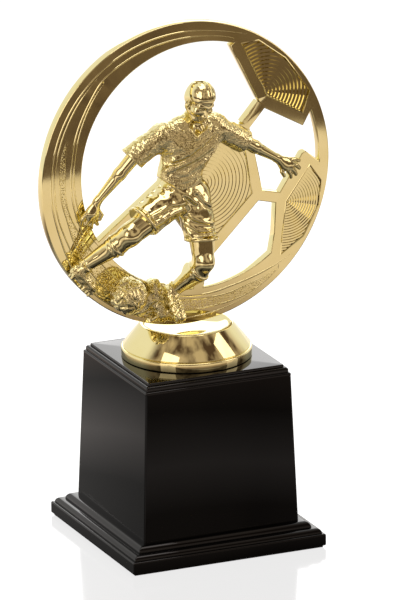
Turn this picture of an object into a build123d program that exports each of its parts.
"""Figure trophy: a footballer in a pierced ring, on a weighted square base.

Millimetres, +Z up, +X to the right as the trophy is looked at, front towards -Y.
The origin is the centre of the underside, on the surface the trophy stands on.
The base is one body. Everything gold, with the stud that holds it, turns on that stud.
"""
from build123d import *
import math
import os

os.makedirs("parts", exist_ok=True)

# ---------------------------------------------------------------- driving sizes
# Base: a moulded shell, open below
plinth_width = 80.0          # over the square plinth
plinth_height = 5.4          # top of the plinth's flat edge
arris = 0.6                  # rounding of the plinth's upper edge
lower_ovolo_inset = 1.1      # each inset is measured from the plinth's side
lower_ovolo_height = 1.9
upper_ovolo_inset = 4.2
upper_ovolo_height = 2.3
step_land = 0.05             # flat left beside each quarter-round
body_inset = 7.9
body_height = 57.7
body_draft = 1.99            # degrees; the body's sides lean in as they rise
body_edge_radius = 0.9       # vertical edges of the tapered body
crown_heights = (1.1, 1.9, 1.0)   # three small steps above the body
crown_insets = (0.0, 0.75, 2.1)   # how far each step stands in from the body's head
crown_radii = (0.7, 0.9, 0.4)
shell_wall = 2.4
ceiling_thickness = 2.6      # top wall, which carries the figure
ceiling_boss_depth = 3.0
ceiling_boss_margin = 1.5    # boss stands out past the steel washer

# Underside
pad_thickness = 0.8
pad_margin = 1.0             # pad stands in from the plinth's side
cover_thickness = 2.0
cover_lip = 2.0              # plinth wall left outside the cover
cover_clearance = 0.15
ballast_height = 26.0
ballast_clearance = 0.4
ballast_bore_radius = 12.0   # cast-in hole that lets a spanner reach the nut

# Stud, nut and washers
stud_radius = 3.0            # M6
stud_tail = 2.1              # thread left showing below the nut
stud_chamfer = 0.6
stud_clearance = 0.08        # running fit of the stud in the ceiling
nut_wall = 2.0               # from the thread to a flat
nut_height = 5.0
steel_washer_rim = 5.0       # each washer's rim is measured from the thread
steel_washer_thickness = 1.6
fibre_washer_rim = 5.5
fibre_washer_thickness = 1.0
washer_clearance = 0.2       # radial, in both washers' holes

# Figure foot: the round gold collar
foot_margin = 2.6            # base top left showing at the middle of each side
foot_band_height = 3.8       # upright lower band
foot_rim_clearance = 0.15    # the rim hangs just clear of the base
foot_shoulder = 0.6          # small ledge above the band
foot_neck_inset = 7.15       # the cone's head stands in from the band
foot_height = 12.7           # base top to the foot's upper rim
foot_rim_width = 1.3
foot_wall = 1.8
dish_depth = 2.4
foot_boss_wall = 3.5         # round the insert
insert_wall = 1.5            # round the thread
insert_length = 6.3

# Ring
ring_radius = 59.3
ring_thickness = 4.0
ring_setback = 1.0           # middle of the ring behind the stud's axis
ring_sink = 0.4              # how far the ring dips below the foot's rim
strut_width = 4.3
right_rim_width = 4.1        # ring between the two right-hand panels
panel_recess_depth = 0.9
rib_height = 0.5
rib_width = 0.7
rib_spacing = 1.5
pentagon_border = 4.4
groove_depth = 0.8
groove_width = 2.2
groove_margin = 3.5          # from the ring's outer edge
spigot_width = 12.0
spigot_depth = 1.4           # into the slot in the foot
spigot_clearance = 0.1

# Figure and ball are let into the ring's face by this much
weld_depth = 0.4

# The net, the player and the ball are drawn for a ring of this radius, and grow with the ring
drawn_radius = 59.3
drawn_opening_radius = 48.4
drawn_ball_radius = 7.4
drawn_head_radius = 6.6

# ---------------------------------------------------------------- worked-out sizes
plinth_half = plinth_width / 2
shell_bottom = pad_thickness
lower_ovolo_half = plinth_half - lower_ovolo_inset
lower_ovolo_top = plinth_height + lower_ovolo_height
upper_ovolo_half = plinth_half - upper_ovolo_inset
body_bottom = lower_ovolo_top + upper_ovolo_height
body_width = plinth_width - 2 * body_inset
body_top_width = body_width - 2 * body_height * math.tan(math.radians(body_draft))
body_top = body_bottom + body_height
base_top = body_top + sum(crown_heights)
ceiling_z = base_top - ceiling_thickness
ceiling_boss_z = ceiling_z - ceiling_boss_depth
cavity_width = body_width - 2 * shell_wall

cover_half = plinth_half - cover_lip - cover_clearance
cover_top = shell_bottom + cover_thickness
steel_washer_radius = stud_radius + steel_washer_rim
steel_washer_z = ceiling_boss_z - steel_washer_thickness
nut_z = steel_washer_z - nut_height
foot_boss_z = base_top + fibre_washer_thickness
stud_bottom = nut_z - stud_tail
stud_top = foot_boss_z + insert_length

foot_radius = body_top_width / 2 - crown_insets[-1] - crown_radii[-1] - foot_margin
foot_neck_radius = foot_radius - foot_neck_inset
foot_rim_z = base_top + foot_rim_clearance
foot_band_top = base_top + foot_band_height
foot_top = base_top + foot_height
insert_radius = stud_radius + insert_wall
foot_boss_radius = insert_radius + foot_boss_wall
dish_floor = foot_top - dish_depth
slot_floor = dish_floor - spigot_depth

drawn_scale = ring_radius / drawn_radius
ring_front_y = ring_setback - ring_thickness / 2
ring_centre_z = foot_top - ring_sink + ring_radius
ring_back_plane = Plane(origin=(0, ring_front_y + ring_thickness, ring_centre_z), x_dir=(1, 0, 0), z_dir=(0, -1, 0))
ring_front_plane = ring_back_plane.offset(ring_thickness)
groove_radius = ring_radius - groove_margin


def drawn(points):
    """Points of the net's drawing at the ring's real size, from the ring's centre."""
    return [(x * drawn_scale, z * drawn_scale) for x, z in points]


def on_figure(point):
    """A point of the player, measured from the middle of the ring's front face."""
    x, y, z = point
    return Vector(x * drawn_scale, ring_front_y + y * drawn_scale, ring_centre_z + z * drawn_scale)


# ---------------------------------------------------------------- base shell
with BuildPart() as base_shell:
    with BuildSketch(Plane.XY.offset(shell_bottom)):
        Rectangle(plinth_width, plinth_width)
    extrude(amount=plinth_height - shell_bottom)
    fillet(base_shell.edges().group_by(Axis.Z)[-1], radius=arris)
    # Two quarter-round steps carry the plinth in to the body
    lower_steps = (
        (plinth_height, lower_ovolo_half, lower_ovolo_height),
        (lower_ovolo_top, upper_ovolo_half, upper_ovolo_height),
    )
    for step_z, step_half, step_height in lower_steps:
        with BuildSketch(Plane.XY.offset(step_z)):
            Rectangle(2 * step_half, 2 * step_half)
        extrude(amount=step_height)
        fillet(base_shell.edges().group_by(Axis.Z)[-1], radius=step_height - step_land)
    with BuildSketch(Plane.XY.offset(body_bottom)):
        RectangleRounded(body_width, body_width, body_edge_radius)
    extrude(amount=body_height, taper=body_draft)
    # Crown steps finish the head of the body
    crown_z = body_top
    for crown_height, crown_inset, crown_radius in zip(crown_heights, crown_insets, crown_radii):
        crown_width = body_top_width - 2 * crown_inset
        with BuildSketch(Plane.XY.offset(crown_z)):
            Rectangle(crown_width, crown_width)
        extrude(amount=crown_height)
        fillet(base_shell.edges().group_by(Axis.Z)[-1], radius=crown_radius)
        crown_z += crown_height
    # Cored from below: recess for the cover, two pockets in the plinth, then the tapered body
    with BuildSketch(Plane.XY.offset(shell_bottom)):
        Rectangle(plinth_width - 2 * cover_lip, plinth_width - 2 * cover_lip)
    extrude(amount=cover_thickness, mode=Mode.SUBTRACT)
    plinth_pockets = (
        (lower_ovolo_half - shell_wall, plinth_height - shell_wall),
        (upper_ovolo_half - shell_wall, lower_ovolo_top - shell_wall),
    )
    for pocket_half, pocket_top in plinth_pockets:
        with BuildSketch(Plane.XY.offset(shell_bottom)):
            Rectangle(2 * pocket_half, 2 * pocket_half)
        extrude(amount=pocket_top - shell_bottom, mode=Mode.SUBTRACT)
    with BuildSketch(Plane.XY.offset(body_bottom)):
        Rectangle(cavity_width, cavity_width)
    extrude(amount=ceiling_z - body_bottom, taper=body_draft, mode=Mode.SUBTRACT)
    with BuildSketch(Plane.XY.offset(shell_bottom)):
        Rectangle(cavity_width, cavity_width)
    extrude(amount=body_bottom - shell_bottom, mode=Mode.SUBTRACT)
    # Boss under the ceiling, bored for the stud
    with BuildSketch(Plane.XY.offset(ceiling_boss_z)):
        Circle(steel_washer_radius + ceiling_boss_margin)
    extrude(amount=ceiling_boss_depth)
    with BuildSketch(Plane.XY.offset(ceiling_boss_z)):
        Circle(stud_radius + stud_clearance)
    extrude(amount=base_top - ceiling_boss_z, mode=Mode.SUBTRACT)
base_shell.part.label = "base_shell"
export_step(base_shell.part, "parts/base_shell.step")

# ---------------------------------------------------------------- underside
with BuildPart() as bottom_cover:
    with BuildSketch(Plane.XY.offset(shell_bottom)):
        Rectangle(2 * cover_half, 2 * cover_half)
    extrude(amount=cover_thickness)
bottom_cover.part.label = "bottom_cover"
export_step(bottom_cover.part, "parts/bottom_cover.step")

with BuildPart() as base_pad:
    with BuildSketch():
        Rectangle(plinth_width - 2 * pad_margin, plinth_width - 2 * pad_margin)
    extrude(amount=pad_thickness)
base_pad.part.label = "base_pad"
export_step(base_pad.part, "parts/base_pad.step")

# Cast block that fills the foot of the cavity, with the same taper
ballast_straight = body_bottom - cover_top
with BuildPart() as ballast_block:
    ballast_width = cavity_width - 2 * ballast_clearance
    with BuildSketch(Plane.XY.offset(cover_top)):
        Rectangle(ballast_width, ballast_width)
        Circle(ballast_bore_radius, mode=Mode.SUBTRACT)
    extrude(amount=ballast_straight)
    with BuildSketch(Plane.XY.offset(body_bottom)):
        Rectangle(ballast_width, ballast_width)
    extrude(amount=ballast_height - ballast_straight, taper=body_draft)
    with BuildSketch(Plane.XY.offset(cover_top)):
        Circle(ballast_bore_radius)
    extrude(amount=ballast_height, mode=Mode.SUBTRACT)
ballast_block.part.label = "ballast_block"
export_step(ballast_block.part, "parts/ballast_block.step")

# ---------------------------------------------------------------- stud, nut and washers
with BuildPart() as stud:
    with BuildSketch(Plane.XY.offset(stud_bottom)):
        Circle(stud_radius)
    extrude(amount=stud_top - stud_bottom)
    chamfer(stud.edges().filter_by(GeomType.CIRCLE), length=stud_chamfer)
stud.part.label = "stud"
export_step(stud.part, "parts/stud.step")

with BuildPart() as stud_nut:
    with BuildSketch(Plane.XY.offset(nut_z)):
        RegularPolygon(stud_radius + nut_wall, 6, major_radius=False)
        Circle(stud_radius, mode=Mode.SUBTRACT)
    extrude(amount=nut_height)
stud_nut.part.label = "stud_nut"
export_step(stud_nut.part, "parts/stud_nut.step")

with BuildPart() as steel_washer:
    with BuildSketch(Plane.XY.offset(steel_washer_z)):
        Circle(steel_washer_radius)
        Circle(stud_radius + washer_clearance, mode=Mode.SUBTRACT)
    extrude(amount=steel_washer_thickness)
steel_washer.part.label = "steel_washer"
export_step(steel_washer.part, "parts/steel_washer.step")

with BuildPart() as fibre_washer:
    with BuildSketch(Plane.XY.offset(base_top)):
        Circle(stud_radius + fibre_washer_rim)
        Circle(stud_radius + washer_clearance, mode=Mode.SUBTRACT)
    extrude(amount=fibre_washer_thickness)
fibre_washer.part.label = "fibre_washer"
export_step(fibre_washer.part, "parts/fibre_washer.step")

# Knurled brass insert moulded into the foot's boss
with BuildPart() as foot_insert:
    with BuildSketch(Plane.XY.offset(foot_boss_z)):
        Circle(insert_radius)
        Circle(stud_radius, mode=Mode.SUBTRACT)
    extrude(amount=insert_length)
foot_insert.part.label = "foot_insert"
export_step(foot_insert.part, "parts/foot_insert.step")

# ---------------------------------------------------------------- figure foot
shoulder_radius = foot_radius - foot_shoulder
cone_bottom = foot_band_top + foot_shoulder / 4
dish_radius = foot_neck_radius - foot_rim_width
under_dish = dish_floor - foot_wall
with BuildPart() as figure_foot:
    with BuildSketch(Plane.XZ):
        with BuildLine():
            Polyline(
                (0, foot_boss_z),
                (foot_boss_radius, foot_boss_z),
                (foot_boss_radius, under_dish),
                (dish_radius - foot_wall, under_dish + foot_wall / 2),
                (shoulder_radius - 2 * foot_wall, foot_band_top - foot_wall),
                (foot_radius - foot_wall, foot_band_top - foot_wall),
                (foot_radius - foot_wall, foot_rim_z),
                (foot_radius, foot_rim_z),
                (foot_radius, foot_band_top - foot_shoulder),
            )
            RadiusArc(
                (foot_radius, foot_band_top - foot_shoulder),
                (shoulder_radius, foot_band_top),
                -foot_shoulder,
            )
            Line((shoulder_radius, foot_band_top), (shoulder_radius - foot_shoulder / 2, cone_bottom))
            Polyline(
                (shoulder_radius - foot_shoulder / 2, cone_bottom),
                (foot_neck_radius, foot_top - foot_rim_width / 2),
                (foot_neck_radius - foot_rim_width / 2, foot_top),
                (dish_radius, foot_top - foot_rim_width / 4),
                (foot_boss_radius, dish_floor),
                (0, dish_floor),
                (0, foot_boss_z),
            )
        make_face()
    revolve(axis=Axis.Z)
    # Blind hole for the insert, and the slot that takes the ring's spigot
    with BuildSketch(Plane.XY.offset(foot_boss_z)):
        Circle(insert_radius)
    extrude(amount=insert_length, mode=Mode.SUBTRACT)
    with BuildSketch(Plane.XY.offset(slot_floor)):
        with Locations((0, ring_setback)):
            Rectangle(spigot_width + 2 * spigot_clearance, ring_thickness + 2 * spigot_clearance)
    extrude(amount=foot_height, mode=Mode.SUBTRACT)
figure_foot.part.label = "figure_foot"
export_step(figure_foot.part, "parts/figure_foot.step")

# ---------------------------------------------------------------- ring
# Outlines are (x, z) from the ring's centre. The football's net shows as one pentagon in the
# middle, two panels against the ring's right side, and the struts between them.
opening_centre = (5.4, 2.6)
pentagon = [(26.0, 16.6), (32.0, -12.4), (8.5, -35.9), (-12.0, -6.0), (-4.0, 18.1)]
upper_panel = [
    (18.5, 47.9), (29.7, 25.6), (32.8, 21.6), (48.5, 12.9), (51.8, 18.6), (62.0, 25.1), (40.0, 61.1),
]
lower_panel = [
    (55.0, -1.6), (49.5, 2.9), (48.0, 2.1), (38.8, -12.3), (36.9, -16.3), (36.3, -27.9), (34.4, -38.4),
    (30.0, -46.9), (60.0, -38.9), (64.0, -8.9),
]
side_gap = [(44.0, 25.1), (62.0, 25.1), (62.0, -6.9), (44.0, -6.9)]
struts = [
    ((24.6, 16.0), (31.3, 23.6)),
    ((30.0, -12.3), (39.0, -14.5)),
    ((6.9, -34.9), (4.2, -47.9)),
    ((-8.5, -3.3), (-37.0, -25.2)),
]
upper_recess = [(23.8, 47.6), (30.0, 48.4), (41.0, 39.1), (51.0, 26.6), (48.2, 18.4), (34.0, 26.6)]
lower_recess = [
    (51.3, -3.2), (56.4, -8.9), (55.4, -18.9), (48.3, -31.4), (39.0, -37.1), (40.0, -28.9), (41.7, -16.2),
]
# Each field of ribs: its outline, the centre of its arcs and the border left inside the outline
rib_fields = (
    (upper_recess, (33.5, 28.1), 0.0),
    (lower_recess, (41.7, -16.2), 0.0),
    (pentagon, (6.8, -4.6), pentagon_border),
)

with BuildSketch(ring_back_plane) as right_gap:
    Circle(ring_radius - right_rim_width)
    Polygon(*drawn(side_gap), align=None, mode=Mode.INTERSECT)

with BuildPart() as ring_frame:
    with BuildSketch(ring_back_plane):
        Circle(ring_radius)
        with Locations(drawn([opening_centre])):
            Circle(drawn_opening_radius * drawn_scale, mode=Mode.SUBTRACT)
        add(right_gap.sketch_local, mode=Mode.SUBTRACT)
        for plate in (pentagon, upper_panel, lower_panel):
            Polygon(*drawn(plate), align=None)
        for strut in struts:
            with BuildLine(mode=Mode.PRIVATE) as strut_line:
                Line(*drawn(strut))
            trace(strut_line.line, line_width=strut_width)
        Circle(ring_radius, mode=Mode.INTERSECT)
    extrude(amount=ring_thickness)
    # Spigot at the foot of the ring, let into the slot in the figure foot
    with BuildSketch(Plane.XY.offset(slot_floor)):
        with Locations((0, ring_setback)):
            Rectangle(spigot_width, ring_thickness)
    extrude(amount=ring_centre_z - ring_radius + spigot_width / 2 - slot_floor)
    # Groove that follows the ring's outer edge
    with BuildSketch(ring_front_plane):
        Circle(groove_radius)
        Circle(groove_radius - groove_width, mode=Mode.SUBTRACT)
        with Locations((-ring_radius / 2, ring_radius / 2)):
            Rectangle(ring_radius, ring_radius, mode=Mode.INTERSECT)
    extrude(amount=-groove_depth, mode=Mode.SUBTRACT)
    # Recessed fields with concentric ribs
    for field_outline, rib_centre, field_margin in rib_fields:
        with BuildSketch(ring_front_plane) as field:
            Polygon(*drawn(field_outline), align=None)
            if field_margin:
                offset(amount=-field_margin, kind=Kind.INTERSECTION)
        extrude(amount=-panel_recess_depth, mode=Mode.SUBTRACT)
        rib_count = int(field.sketch.bounding_box().diagonal / rib_spacing)
        with BuildSketch(ring_front_plane.offset(-panel_recess_depth)):
            with Locations(drawn([rib_centre])):
                for rib_index in range(rib_count, 0, -1):
                    Circle(rib_index * rib_spacing + rib_width / 2)
                    Circle(rib_index * rib_spacing - rib_width / 2, mode=Mode.SUBTRACT)
            add(field.sketch_local, mode=Mode.INTERSECT)
        extrude(amount=rib_height)
ring_frame.part.label = "ring_frame"
export_step(ring_frame.part, "parts/ring_frame.step")

# ---------------------------------------------------------------- football
ball_radius = drawn_ball_radius * drawn_scale
ball_middle = on_figure((-27.3, 0.0, -42.5)) + Vector(0, weld_depth - ball_radius, 0)
with BuildPart() as football:
    with Locations(ball_middle):
        Sphere(ball_radius)
    add(ring_frame.part, mode=Mode.SUBTRACT)
football.part.label = "football"
export_step(football.part, "parts/football.step")

# ---------------------------------------------------------------- player
# Joints of the body, from the middle of the ring's front face. Right and left are the player's own.
head = (-0.5, -13.5, 33.4)
neck = (-0.8, -11.0, 25.6)
chest = (-4.6, -10.5, 16.6)
waist = (-6.0, -9.5, 5.6)
hips = (-5.4, -9.0, -0.9)
right_shoulder = (-15.4, -9.5, 21.3)
right_elbow = (-27.2, -8.5, 9.7)
right_wrist = (-38.9, -4.5, -4.9)
right_palm = (-40.2, -3.0, -9.6)
right_fingers = (-41.3, -1.4, -14.3)
left_shoulder = (8.6, -9.5, 21.4)
left_elbow = (21.6, -8.0, 13.3)
left_wrist = (35.8, -4.5, 2.4)
left_palm = (40.2, -3.0, -0.9)
left_fingers = (45.2, -1.4, -5.2)
right_hip = (-9.5, -9.0, -3.5)
right_knee = (-29.0, -15.0, -11.2)
right_ankle = (-44.5, -5.0, -28.2)
right_heel = (-47.3, -2.8, -30.6)
right_toe = (-39.7, -4.0, -38.0)
left_hip = (-0.6, -8.5, -4.2)
left_knee = (0.1, -15.0, -29.3)
left_ankle = (-6.9, -5.0, -40.1)
left_toe = (-8.9, -12.0, -50.6)
turf = (-9.8, -2.6, -48.9)

# Each limb runs from one joint to the next and tapers from the first radius to the second
limbs = (
    (neck, head, 3.0, 3.2),
    (chest, neck, 5.0, 3.0),
    (waist, chest, 7.4, 8.4),
    (hips, waist, 7.8, 7.4),
    (right_shoulder, left_shoulder, 5.2, 5.0),
    (right_shoulder, right_elbow, 4.6, 3.2),
    (right_elbow, right_wrist, 2.6, 1.7),
    (right_wrist, right_palm, 1.8, 2.2),
    (right_palm, right_fingers, 2.3, 1.7),
    (left_shoulder, left_elbow, 4.6, 3.2),
    (left_elbow, left_wrist, 2.6, 1.7),
    (left_wrist, left_palm, 1.8, 2.2),
    (left_palm, left_fingers, 2.3, 1.7),
    (right_hip, right_knee, 6.8, 6.0),
    (right_knee, right_ankle, 4.2, 2.8),
    (right_ankle, right_heel, 2.8, 3.2),
    (right_heel, right_toe, 3.2, 2.4),
    (left_hip, left_knee, 7.2, 4.2),
    (left_knee, left_ankle, 3.8, 2.6),
    (left_ankle, left_toe, 3.4, 2.8),
    (left_toe, turf, 2.8, 3.2),
)
with BuildPart() as player:
    with Locations(on_figure(head)):
        Sphere(drawn_head_radius * drawn_scale)
    for limb_start, limb_end, start_radius, end_radius in limbs:
        limb_from = on_figure(limb_start)
        limb_axis = on_figure(limb_end) - limb_from
        limb_radii = (start_radius * drawn_scale, end_radius * drawn_scale)
        with Locations(limb_from):
            Sphere(limb_radii[0])
        with Locations(limb_from + limb_axis):
            Sphere(limb_radii[1])
        with Locations(Plane(origin=limb_from, z_dir=limb_axis)):
            Cone(*limb_radii, limb_axis.length, align=(Align.CENTER, Align.CENTER, Align.MIN))
    add(ring_frame.part, mode=Mode.SUBTRACT)
    add(football.part, mode=Mode.SUBTRACT)
player.part.label = "player"
export_step(player.part, "parts/player.step")
